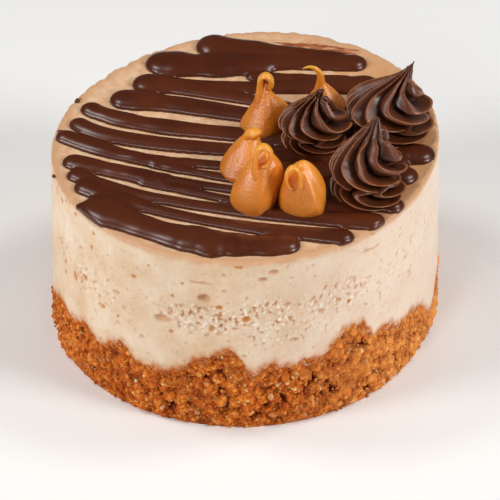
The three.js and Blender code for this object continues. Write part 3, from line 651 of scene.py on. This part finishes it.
def filling_wall():
    """The cheese filling: pitted side, softly rounded rim and smooth top, closed under the crumb's edge."""
    rows = 1 + FILLING_ROWS + RIM_ROWS + TOP_ROWS + 1
    values = dict.fromkeys(("pit_shade", "curd_highlight", "fleck", "stain", "rim"))
    uneven = wander(5, 9, 3, 40)

    def place(u, v):
        azimuth = azimuth_at(u)
        row = np.rint(v * rows)
        edge = crumb_edge(azimuth)
        low = edge - CRUMB_OVERLAP - FILLING_HEM
        shoulder = CAKE_HEIGHT - RIM_ROUND
        share = np.clip((row - 2) / FILLING_ROWS, 0, 1)
        height = low + (shoulder - low) * share
        tuck = FILLING_TUCK * np.clip((edge + CRUMB_OVERLAP - height) / (2 * CRUMB_OVERLAP), 0, 1) ** 2
        turn = np.clip((row - 2 - FILLING_ROWS) / RIM_ROWS, 0, 1) * math.pi / 2
        around = np.stack(round_about(azimuth, CAKE_RADIUS, 0 * azimuth), axis=1)
        chipped = np.clip(noise_at(around, CHIP_SIZE, 9.1) - CHIP_LEVEL, 0, 1)
        chipped = chipped + SMALL_CHIP * np.clip(noise_at(around, SMALL_CHIP_SIZE, 3.3), 0, 1)
        rim = RIM_ROUND * (1 - RIM_UNEVENNESS + RIM_UNEVENNESS * uneven(azimuth)) + RIM_CHIP * chipped
        inward = np.clip((row - 2 - FILLING_ROWS - RIM_ROWS) / TOP_ROWS, 0, 1) ** 2
        outer = plan_radius(azimuth, np.minimum(height, CAKE_HEIGHT)) - tuck
        radius = (outer - rim * (1 - np.cos(turn))) * (1 - inward)
        height = np.where(turn > 0, CAKE_HEIGHT - rim + rim * np.sin(turn), height)
        points = np.stack(round_about(azimuth, radius, height), axis=1)
        wavy = waves_at(points, FILLING_WAVES)
        on_side = (row >= 2) & (inward == 0)
        flock, crumbs = crumbly(azimuth, height, points)
        dented, dents = hollows(azimuth, height, DENTS)
        dotted, dots = hollows(azimuth, height, scattered_pits())
        flecked, flecks = hollows(azimuth, height, FLECKS)
        flaked, _ = hollows(azimuth, height, FLAKES)
        sunk = np.maximum.reduce([crumbs, dented, dotted, FLECK_DEPTH * flecked])
        raised = flock * noise_at(points, CURD_SIZE, 5.2)
        lip = RIM_LIP * np.exp(-((inward * CAKE_RADIUS / LIP_WIDTH) ** 2)) * np.sin(turn)
        radius = np.where(on_side, radius + wavy + CURD_RISE * raised + flaked - sunk, radius)
        height = np.where(inward > 0, height + TOP_WAVINESS * wavy, height)
        height = height + lip * (1 + LIP_UNEVENNESS * noise_at(around, LIP_WAVE, 1.4))
        radius = np.where(row <= 1, np.where(row == 0, 0, radius - FILLING_CLOSING), radius)
        height = np.where(row == 0, CRUMB_LEVEL, height)
        # painted shade in the pits and the dents' beds
        pit_shading = PIT_SHADE * crumbs + LONE_PIT_SHADE * dots + DENT_SHADE * dents
        values["pit_shade"] = np.where(on_side, np.clip(pit_shading, 0, 1), 0)
        near_crumb = np.clip(1 - (height - edge - STAIN_FROM) / STAIN_REACH, 0, 1)
        soaked = near_crumb ** STAIN_FADE * STAIN_TINT * (1 + noise_at(points, STAIN_PATCH, 5.5))
        values["stain"] = np.where(on_side, np.clip(soaked, 0, 1), 0)
        values["fleck"] = np.where(on_side, flecks, 0)
        # painted highlight: the curds are paler where they stand highest, outside the pits
        pale = np.clip(CURD_HIGHLIGHT_GAIN * raised - CURD_HIGHLIGHT_LEVEL, 0, 1)
        values["curd_highlight"] = np.where(on_side & (sunk < CURD_HIGHLIGHT_CLEAR), pale, 0)
        values["rim"] = np.clip(lip / RIM_LIP, 0, 1)
        return round_about(azimuth, radius, height)

    return wrapped("filling_wall", AROUND, rows, place, values)


def curve_through(points, share):
    """A smooth curve through three points, at shares from 0 to 1, and its unit heading on the top face."""
    first, middle, last = (np.array(p, dtype=float) for p in points)
    t = share[:, None]
    bend = 2 * middle - (first + last) / 2
    place = (1 - t) ** 2 * first + 2 * t * (1 - t) * bend + t ** 2 * last
    heading = (2 * (1 - t) * (bend - first) + 2 * t * (last - bend))[:, :2]
    return place, heading / np.linalg.norm(heading, axis=1)[:, None]


def drizzle():
    """All strokes of chocolate, melted together where they meet."""
    bm = bmesh.new()
    for i, points in enumerate(STROKES + UNDER_STROKES):
        length = math.dist(points[0][:2], points[2][:2])
        before, after = points[0][2], points[2][2]
        ripple = wander(100 + i, 4, 1, 7)

        def place(u, v):
            run = (length + before + after) * (1 - np.cos(math.pi * v)) / 2 - before
            share = np.clip(run / length, 0, 1)
            centre, heading = curve_through(points, share)
            width = centre[:, 2] * (1 + WIDTH_RIPPLE * ripple(share * 3))
            past = run - share * length
            half = np.sqrt(np.clip(width ** 2 - past ** 2, 0, None))
            ends = (v < 1e-6) | (v > 1 - 1e-6)
            half = np.where(ends, 0, half)
            rise = STROKE_FLAT_RISE + STROKE_RISE_PER_WIDTH * width
            rise = rise * (1 + RISE_RIPPLE * ripple(share * 5 + 1))
            angle = 2 * math.pi * u
            sideways = half * np.cos(angle)
            lift = np.sin(angle)
            full = half / width
            up = np.where(lift > 0, rise * np.abs(lift) ** STROKE_ROUNDNESS, STROKE_SINK * lift) * full
            x = centre[:, 0] + heading[:, 0] * past - heading[:, 1] * sideways
            y = centre[:, 1] + heading[:, 1] * past + heading[:, 0] * sideways
            limit = plan_radius(np.arctan2(y, x), CAKE_HEIGHT) + DRIZZLE_REACH
            inside = np.minimum(1, limit / np.hypot(x, y))
            return x * inside, y * inside, CAKE_HEIGHT + up

        grid(bm, STROKE_SIDES, STROKE_STEPS, place)
    close(bm)
    return to_object("chocolate_drizzle", fused(bm, DRIZZLE_VOXEL, DRIZZLE_SMOOTHING))


def caramel_drop(number, drop):
    """One piped caramel drop: a round body that narrows to a tail, which rises and curls over."""
    x0, y0 = drop["at"]
    lean = drop["lean"]
    height = drop["height"]
    tail = drop["tail"]
    foot_level = CAKE_HEIGHT + TOPPING_GAP

    def body(u, v):
        azimuth = 2 * math.pi * u
        share = np.clip((v * DROP_ROWS - 1) / (DROP_ROWS - 1), 0, 1)
        foot = DROP_FOOT + (1 - DROP_FOOT) * np.clip(share / DROP_FOOT_REACH, 0, 1) ** 0.5
        radius = drop["radius"] * foot * np.clip(1 - share ** drop["plump"], 0, 1) ** drop["waist"]
        for low, high, amount, before, after, middle, reach in drop["ridges"]:
            aside = degrees_from(low + (high - low) * share, azimuth)
            tent = np.clip(1 - np.where(aside < 0, -aside / before, aside / after), 0, 1)
            radius = radius + amount * tent * np.exp(-(((share - middle) / reach) ** 2))
        radius = np.where((v < 0.5 / DROP_ROWS) | (share == 1), 0, radius)
        x = radius * np.cos(azimuth) + lean[0] * share ** 2
        y = radius * np.sin(azimuth) + lean[1] * share ** 2
        z = share * height
        for way, tilt, distance in drop["facets"]:
            flat, steep = math.radians(way), math.radians(tilt)
            normal = (math.cos(flat) * math.cos(steep), math.sin(flat) * math.cos(steep), math.sin(steep))
            out = x * normal[0] + y * normal[1] + (z - FACET_LEVEL * height) * normal[2]
            beyond = np.clip(out - distance, 0, None)
            x, y, z = (value - FACET_FLATNESS * beyond * part for value, part in zip((x, y, z), normal))
        return x0 + x, y0 + y, foot_level + np.maximum(z, 0)

    def curl(u, v):
        azimuth = 2 * math.pi * u
        bend, stretch, rise = tail["bend"], tail["stretch"], tail["rise"]
        swing = bend * (1 + stretch) / 2 * math.radians(tail["turn"])
        share = np.clip((v * TAIL_ROWS - 1) / (TAIL_ROWS - 2), 0, 1)
        run = share * (rise + swing)
        angle = np.clip(run - rise, 0, None) / swing * math.radians(tail["turn"])
        swollen = 1 + tail["root"] * np.clip(1 - run / rise, 0, 1) ** ROOT_FADE
        taper = (1 - (1 - tail["tip"]) * share) * swollen
        ends = np.sqrt(np.clip(1 - np.clip((share - 1 + TAIL_END) / TAIL_END, 0, 1) ** 2, 0, 1))
        pole = (v < 0.5 / TAIL_ROWS) | (v > 1 - 0.5 / TAIL_ROWS)
        ends = np.where(pole, 0, np.maximum(ends, TAIL_BLUNTNESS))
        thick = tail["thick"] * taper * ends * np.cos(azimuth)
        aside = tail["wide"] * taper * ends * np.sin(azimuth)
        out = bend * (1 - np.cos(angle)) + thick * np.cos(angle)
        up = np.minimum(run, rise) + bend * stretch * np.sin(angle) - thick * np.sin(angle)
        way = math.radians(tail["azimuth"])
        x = x0 + tail["start"][0] + out * math.cos(way) - aside * math.sin(way)
        y = y0 + tail["start"][1] + out * math.sin(way) + aside * math.cos(way)
        return x, y, foot_level + tail["start"][2] + up

    bm = bmesh.new()
    grid(bm, DROP_SIDES, DROP_ROWS, body)
    grid(bm, TAIL_SIDES, TAIL_ROWS, curl)
    close(bm)
    skin = fused(bm, DROP_VOXEL, DROP_SMOOTHING)
    skin.normal_update()
    grains = noise_at([vert.co for vert in skin.verts], CARAMEL_GRAIN)
    for vert, grain in zip(skin.verts, grains.tolist()):
        vert.co += CARAMEL_GRAIN_RISE * grain * vert.normal
    obj = to_object(f"caramel_drop_{number}_skin", skin)
    heights = np.array([vert.co.z for vert in obj.data.vertices]) / MM - CAKE_HEIGHT
    share = heights / heights.max()
    # painted light on each drop's upper part, and painted shade at its foot
    keep_values(obj, "tip", np.clip((share - LIT_TOP_FROM) / (1 - LIT_TOP_FROM), 0, 1))
    keep_values(obj, "foot", FOOT_SHADE_DARKNESS * np.clip(1 - heights / FOOT_SHADE, 0, 1))
    return obj


def eased(share, keys, values):
    """Numbers that pass near values at keys, without corners."""
    plain = np.interp(share, keys, values)
    window = np.hanning(2 * EASING + 1)
    padded = np.pad(plain, EASING, mode="reflect", reflect_type="odd")
    return np.convolve(padded, window / window.sum(), mode="valid")


def chocolate_rosette(number, rosette):
    """One piped rosette: two swollen tiers of sharp fins that swing round and run into one torn tip."""
    x0, y0 = rosette["at"]
    wide, tall = rosette["radius"], rosette["height"]
    share = np.linspace(0, 1, ROSETTE_ROWS + 1)
    swell = wide * np.clip(eased(share, TIER_SHARES, TIER_WIDTHS), 0.01, None) ** rosette["slim"]
    swell = np.maximum(swell, rosette["blunt"])
    swell = swell * eased(share, [0, CREASE, 2 * CREASE, 1], [rosette["skirt"], rosette["skirt"], 1, 1])
    turn = np.radians(eased(share, SWING_SHARES, SWING_TURNS))
    groove = eased(share, GROOVE_SHARES, GROOVE_DEPTHS)
    flare = sum(np.exp(-(((share - middle) / spread) ** 2)) for middle, spread in FLARES)
    draw = random.Random(60 + number)
    ends = np.array([draw.uniform(TEAR_FROM, 1.0) for _ in range(FINS)])
    deeper = np.array([draw.uniform(*FIN_REACHES) for _ in range(FINS)])
    bends = np.array([draw.uniform(-FIN_BEND, FIN_BEND) for _ in range(FINS + 1)])
    bends[FINS] = bends[0]
    values = dict.fromkeys(("crest", "hollow"))

    def place(u, v):
        row = np.rint(v * (ROSETTE_ROWS + 2)).astype(int) - 1
        inner = np.clip(row, 0, ROSETTE_ROWS)
        step = np.rint(u * FINS * FIN_STEPS).astype(int)
        even = (step % FIN_STEPS) / FIN_STEPS
        within = even - FIN_SHARPNESS * np.sin(2 * math.pi * even)
        fin = np.rint(u * FINS).astype(int) % FINS
        steep = np.sin(np.clip(within / FIN_BACK, 0, 1) * math.pi / 2)
        gentle = np.clip((1 - within) / (1 - FIN_BACK), 0, 1) ** LOBE
        hollow = np.where(within < FIN_BACK, steep, gentle)
        crest = np.where(step % FIN_STEPS == 0, 1.0, 0.0)
        torn = np.clip((share[inner] - ends[fin]) / TEAR_LENGTH, 0, 1)
        # each fin reads a strip of the noise of its own
        rough = noise_at(np.stack([v * tall / TEAR_SIZE, fin * 7.0, 0 * v], axis=1), 1.0)
        along = np.stack([share[inner] * FIN_WAVES, fin * 5.0 + 0.3, number + 0 * v], axis=1)
        ripple = noise_at(along, 1.0, 0.7)
        rough = rough * crest * share[inner]
        reach = 1 - (1 - deeper[fin] * (1 - TEAR_DEPTH * torn)) * groove[inner] * (1 - hollow)
        radius = swell[inner] * (reach - groove[inner] * hollow) + FIN_ROUGHNESS * rough
        bend = np.interp(u * FINS, np.arange(FINS + 1), bends)
        azimuth = 2 * math.pi * (np.floor(step / FIN_STEPS) + within) / FINS + turn[inner]
        azimuth = azimuth + np.radians(rosette["start"] + bend * share[inner] + FIN_WANDER * ripple)
        azimuth = azimuth + FIN_CROWDING * np.sin(azimuth)
        leaving = np.clip(np.cos(azimuth - math.radians(LIP_AZIMUTH)), 0, 1)
        thin = np.clip(1 - LIP_THINNESS * hollow, 0, 1)
        lip = LIP * (LIP_LEAST + (1 - LIP_LEAST) * leaving) * thin * flare[inner]
        radius = np.where((row < 0) | (row > ROSETTE_ROWS), 0, radius + lip)
        lean = share[inner] ** LEAN_CURVE
        sway = np.sin(math.pi * np.clip(share[inner] / SWAY_TOP, 0, 1))
        values["crest"] = crest
        # the share into each groove, which the material also turns into painted shade
        values["hollow"] = hollow
        x = x0 + radius * np.cos(azimuth) + rosette["lean"][0] * lean + rosette["sway"] * sway
        y = y0 + radius * np.sin(azimuth) + rosette["lean"][1] * lean
        z = share[inner] * tall + LIP_LIFT * lip + TEAR_LIFT * rough
        return x, y, CAKE_HEIGHT + TOPPING_GAP + z

    return wrapped(f"chocolate_rosette_{number}_piping", FINS * FIN_STEPS, ROSETTE_ROWS + 2, place, values)


def spatter():
    """Flecks of chocolate that landed on the rim."""
    return pebbles("chocolate_spatter", [(*place, size, 0.5) for place, size in SPATTER], 31)


def scrape():
    """A thin streak of caramel and chocolate, dragged along the back of the top."""
    bm = bmesh.new()
    for i, points in enumerate(SCRAPES):
        ripple = wander(200 + i, 5, 3, 14)

        def place(u, v):
            centre, heading = curve_through(points, v)
            ends = np.sqrt(np.clip(4 * v * (1 - v), 0, 1))
            half = centre[:, 2] * ends * (1 + SCRAPE_WIDTH_RIPPLE * ripple(v * 2))
            angle = 2 * math.pi * u
            sideways = half * np.cos(angle)
            up = SCRAPE_RISE * np.sin(angle) * ends * (1 + SCRAPE_RISE_RIPPLE * ripple(v * 3 + 1))
            x = centre[:, 0] - heading[:, 1] * sideways
            y = centre[:, 1] + heading[:, 0] * sideways
            return x, y, CAKE_HEIGHT + up

        grid(bm, SCRAPE_SIDES, STROKE_STEPS, place)
    close(bm)
    return to_object("caramel_scrape", bm)


def scrape_material():
    """Smeared caramel and chocolate: a thin red-brown film with paler toffee streaks along it."""
    material = new_material("smeared_caramel")
    place = add(material, "ShaderNodeTexCoord").outputs["Object"]
    streaks = add(material, "ShaderNodeMapping", {"Vector": place, "Scale": (0.15, 1, 1)})
    cloud = add(material, "ShaderNodeTexNoise", {"Vector": streaks, "Scale": 1 / (1.2 * MM), "Detail": 3.0})
    colour = add(material, "ShaderNodeValToRGB", {"Fac": cloud}, stops=[
        (0.35, "#7c3a1e"), (0.52, "#a85b35"), (0.68, "#d09a70")])
    return surface(material, Base_Color=colour, Roughness=0.45)


def crumb_material():
    """Baked biscuit crumb: dry, rough grains from dark toffee brown to golden, a few pale with sugar; painted
    shade in hollows, painted light to +X.
    """
    material = new_material("baked_biscuit_crumb")
    place = add(material, "ShaderNodeTexCoord").outputs["Object"]
    grain = add(material, "ShaderNodeAttribute", attribute_name="grain").outputs["Fac"]
    depth = add(material, "ShaderNodeAttribute", attribute_name="depth").outputs["Fac"]
    colour = add(material, "ShaderNodeValToRGB", {"Fac": grain}, stops=[
        (0.0, "#bf5a0c"), (0.35, "#df7318"), (0.7, "#f08f2e"), (0.93, "#f9ae50"), (0.99, "#fadaa8")])
    mottle = add(material, "ShaderNodeTexNoise", {"Vector": place, "Scale": 1 / (3 * MM), "Detail": 3.0})
    blend = add(material, "ShaderNodeMapRange", {"Value": mottle, "From Min": 0.25, "From Max": 0.6})
    dark = add(material, "ShaderNodeMixRGB", {"Fac": blend, "Color1": linear("#b8540e"), "Color2": colour})
    split = add(material, "ShaderNodeSeparateXYZ", {"Vector": place})
    # painted light: the crumb is paler and more golden towards +X, its more brightly lit side
    lit_side = add(material, "ShaderNodeMapRange", {
        "Value": split.outputs["X"], "From Min": 15 * MM, "From Max": 75 * MM, "To Max": 0.55})
    golden = add(material, "ShaderNodeMixRGB", {"Fac": lit_side, "Color1": dark, "Color2": linear("#ffb25c")})
    # painted shade: the crumb is darkened where its relief is sunk
    sunk = add(material, "ShaderNodeMixRGB", {"Fac": depth, "Color1": linear("#7e2e03"), "Color2": golden})
    fine = add(material, "ShaderNodeTexNoise", {"Vector": place, "Scale": 1 / (0.5 * MM), "Detail": 4.0})
    bump = add(material, "ShaderNodeBump", {"Height": fine, "Distance": 0.3 * MM, "Strength": 0.8})
    return surface(material, Base_Color=sunk, Roughness=0.65, Normal=bump, Specular_IOR_Level=0.25)


def filling_material():
    """Baked cheese filling: moist, faintly translucent cream, tanned on top, with toffee flecks, and painted
    shade in its pits.
    """
    material = new_material("baked_cheese_filling")
    place = add(material, "ShaderNodeTexCoord").outputs["Object"]
    split = add(material, "ShaderNodeSeparateXYZ", {"Vector": place})
    cloud = add(material, "ShaderNodeTexNoise", {"Vector": place, "Scale": 1 / (14 * MM), "Detail": 4.0})
    curd = add(material, "ShaderNodeTexNoise", {"Vector": place, "Scale": 1 / (1.6 * MM), "Detail": 3.0})
    uneven = add(material, "ShaderNodeMixRGB", {"Fac": 0.22, "Color1": cloud, "Color2": curd})
    side = add(material, "ShaderNodeValToRGB", {"Fac": uneven}, stops=[
        (0.34, "#e1bf9a"), (0.5, "#ebcfb0"), (0.66, "#f2ddc4")])
    # painted light: the side is paler towards +X, its more brightly lit side
    lit_share = add(material, "ShaderNodeMapRange", {
        "Value": split.outputs["X"], "From Min": -10 * MM, "From Max": 60 * MM, "To Max": 0.6})
    lit_side = add(material, "ShaderNodeMixRGB", {"Fac": lit_share, "Color1": side, "Color2": linear("#efdaca")})

    baked = add(material, "ShaderNodeTexNoise", {"Vector": place, "Scale": 1 / (5 * MM), "Detail": 6.0})
    beige = add(material, "ShaderNodeValToRGB", {"Fac": baked}, stops=[
        (0.32, "#d5a27a"), (0.5, "#dfb58e"), (0.68, "#e7c5a3")])
    across = add(material, "ShaderNodeMapRange", {
        "Value": split.outputs["X"], "From Min": 10 * MM, "From Max": 72 * MM, "To Max": 0.9})
    crust = add(material, "ShaderNodeMixRGB", {"Fac": across, "Color1": beige, "Color2": linear("#ce9058")})
    rim = add(material, "ShaderNodeAttribute", attribute_name="rim").outputs["Fac"]
    lipped = add(material, "ShaderNodeMixRGB", {"Fac": rim, "Color1": crust, "Color2": linear("#d0a178")})
    tanned = add(material, "ShaderNodeMapRange", {
        "Value": split.outputs["Z"], "From Min": (CAKE_HEIGHT - TAN_DEPTH) * MM,
        "From Max": (CAKE_HEIGHT - FULL_TAN_DEPTH) * MM})
    cream = add(material, "ShaderNodeMixRGB", {"Fac": tanned, "Color1": lit_side, "Color2": lipped})

    dust = add(material, "ShaderNodeTexNoise", {"Vector": place, "Scale": 1 / (2.2 * MM), "Detail": 2.0})
    dots = add(material, "ShaderNodeMapRange", {"Value": dust, "From Min": 0.74, "From Max": 0.80})
    colour = add(material, "ShaderNodeMixRGB", {"Fac": dots, "Color1": cream, "Color2": linear("#cf8a4c")})
    # painted shade in the pits and painted highlights on the curds; flecks and stain are the filling's own
    # colour
    for name, tint in (("pit_shade", "#d59058"), ("curd_highlight", "#fdf0e0"), ("fleck", "#d07f30"), ("stain", "#ca7228")):
        amount = add(material, "ShaderNodeAttribute", attribute_name=name).outputs["Fac"]
        colour = add(material, "ShaderNodeMixRGB", {"Fac": amount, "Color1": colour, "Color2": linear(tint)})
    fine = add(material, "ShaderNodeTexNoise", {"Vector": place, "Scale": 1 / (0.7 * MM), "Detail": 3.0})
    bump = add(material, "ShaderNodeBump", {"Height": fine, "Distance": 0.14 * MM, "Strength": 0.6})
    return surface(material, Base_Color=colour, Roughness=0.5, Normal=bump, Specular_IOR_Level=0.4,
                   Subsurface_Weight=0.35, Subsurface_Radius=(2.4 * MM, 1.4 * MM, 0.8 * MM),
                   Subsurface_Scale=1.0)


def drizzle_material():
    """Set dark chocolate: nearly black brown, poured smooth, so it carries soft clear highlights."""
    material = new_material("poured_dark_chocolate")
    place = add(material, "ShaderNodeTexCoord").outputs["Object"]
    cloud = add(material, "ShaderNodeTexNoise", {"Vector": place, "Scale": 1 / (18 * MM), "Detail": 3.0})
    colour = add(material, "ShaderNodeValToRGB", {"Fac": cloud}, stops=[(0.3, "#4a1d09"), (0.7, "#582710")])
    fine = add(material, "ShaderNodeTexNoise", {"Vector": place, "Scale": 1 / (3.5 * MM), "Detail": 2.0})
    bump = add(material, "ShaderNodeBump", {"Height": fine, "Distance": 0.05 * MM, "Strength": 0.15})
    return surface(material, Base_Color=colour, Roughness=0.29, Normal=bump, Specular_IOR_Level=0.5)


def rosette_material():
    """Piped ganache: satin dark chocolate, with painted shade in its grooves and painted highlights on its
    thin torn edges.
    """
    material = new_material("piped_chocolate_ganache")
    place = add(material, "ShaderNodeTexCoord").outputs["Object"]
    crest = add(material, "ShaderNodeAttribute", attribute_name="crest").outputs["Fac"]
    hollow = add(material, "ShaderNodeAttribute", attribute_name="hollow").outputs["Fac"]
    cloud = add(material, "ShaderNodeTexNoise", {"Vector": place, "Scale": 1 / (8 * MM), "Detail": 3.0})
    colour = add(material, "ShaderNodeValToRGB", {"Fac": cloud}, stops=[(0.3, "#602e16"), (0.7, "#7c4225")])
    # painted shade: the colour darkens towards the bottom of each groove
    shade = add(material, "ShaderNodeMath", {0: hollow, 1: 0.7}, operation="POWER")
    groove_shade = add(material, "ShaderNodeMixRGB", {"Fac": shade, "Color1": colour, "Color2": linear("#0e0401")})
    torn = add(material, "ShaderNodeTexNoise", {"Vector": place, "Scale": 1 / (0.9 * MM), "Detail": 2.0})
    # painted highlight: a pale line along each fin's edge, broken up by noise
    edge_highlight = add(material, "ShaderNodeMath", {0: crest, 1: torn}, operation="MULTIPLY")
    edge = add(material, "ShaderNodeMixRGB", {"Fac": edge_highlight, "Color1": groove_shade, "Color2": linear("#d58a57")})
    fine = add(material, "ShaderNodeTexNoise", {"Vector": place, "Scale": 1 / (0.5 * MM), "Detail": 3.0})
    bump = add(material, "ShaderNodeBump", {"Height": fine, "Distance": 0.12 * MM, "Strength": 0.7})
    return surface(material, Base_Color=edge, Roughness=0.34, Normal=bump, Specular_IOR_Level=0.5)


def caramel_material():
    """Soft piped caramel: a translucent toffee orange with a grainy skin, painted brighter towards each
    drop's top and darker at its foot.
    """
    material = new_material("soft_piped_caramel")
    place = add(material, "ShaderNodeTexCoord").outputs["Object"]
    cloud = add(material, "ShaderNodeTexNoise", {"Vector": place, "Scale": 1 / (9 * MM), "Detail": 2.0})
    colour = add(material, "ShaderNodeValToRGB", {"Fac": cloud}, stops=[(0.3, "#dc7d14"), (0.7, "#e99228")])
    # painted shade at the foot and painted light towards the top
    for name, tint in (("foot", "#b85a10"), ("tip", "#f6a22a")):
        amount = add(material, "ShaderNodeAttribute", attribute_name=name).outputs["Fac"]
        colour = add(material, "ShaderNodeMixRGB", {"Fac": amount, "Color1": colour, "Color2": linear(tint)})
    grain = add(material, "ShaderNodeTexNoise", {"Vector": place, "Scale": 1 / (0.5 * MM), "Detail": 2.0})
    bump = add(material, "ShaderNodeBump", {"Height": grain, "Distance": 0.12 * MM, "Strength": 0.8})
    return surface(material, Base_Color=colour, Roughness=0.38, Normal=bump, Specular_IOR_Level=1.0,
                   Subsurface_Weight=0.6, Subsurface_Radius=(5 * MM, 2.8 * MM, 0.9 * MM),
                   Subsurface_Scale=1.0)


def studio():
    """A pale floor, soft lights and the camera."""
    bm = bmesh.new()
    bmesh.ops.create_grid(bm, x_segments=1, y_segments=1, size=FLOOR_HALF)
    floor = to_object("floor", bm)
    pale = surface(new_material("pale_floor"), Base_Color=linear("#f6f5f3"), Roughness=0.8)
    floor.data.materials.append(pale)

    for name, place, size, power in SOFTBOXES:
        light = bpy.data.lights.new(name, "AREA")
        light.shape = "DISK"
        light.size = size
        light.energy = power
        obj = bpy.data.objects.new(name, light)
        obj.location = place
        obj.rotation_euler = (Vector(LIT_PLACE) - obj.location).to_track_quat("-Z", "Y").to_euler()
        bpy.context.scene.collection.objects.link(obj)
    world = bpy.data.worlds.new("studio")
    world.use_nodes = True
    world.node_tree.nodes["Background"].inputs["Color"].default_value = linear("#ffffff")
    world.node_tree.nodes["Background"].inputs["Strength"].default_value = WORLD_STRENGTH
    bpy.context.scene.world = world
    bpy.context.scene.view_settings.view_transform = "Standard"

    elevation = math.radians(CAMERA_ELEVATION)
    camera = bpy.data.cameras.new("camera")
    camera.lens = CAMERA_LENS
    camera.sensor_width = CAMERA_SENSOR
    eye = bpy.data.objects.new("camera", camera)
    away = Vector((0, -math.cos(elevation), math.sin(elevation)))
    eye.location = Vector(CAMERA_CENTRE) * MM + CAMERA_DISTANCE * away
    eye.rotation_euler = (math.pi / 2 - elevation, 0, 0)
    bpy.context.scene.collection.objects.link(eye)
    bpy.context.scene.camera = eye


studio()

crumb = crumb_material()
piece(crumb_wall(), crumb, "biscuit_crumb", "crumb_base")
piece(crumb_grains(), crumb, "biscuit_crumb")
piece(filling_wall(), filling_material(), "cheese_filling", "cheese_filling")
poured = drizzle_material()
piece(drizzle(), poured, "chocolate", "cheese_filling")
piece(spatter(), poured, "chocolate")
piece(scrape(), scrape_material(), "caramel")
caramel = caramel_material()
for i, drop in enumerate(DROPS, 1):
    piece(caramel_drop(i, drop), caramel, "caramel", f"caramel_drop_{i}")
ganache = rosette_material()
for i, rosette in enumerate(ROSETTES, 1):
    piece(chocolate_rosette(i, rosette), ganache, "chocolate", f"chocolate_rosette_{i}")
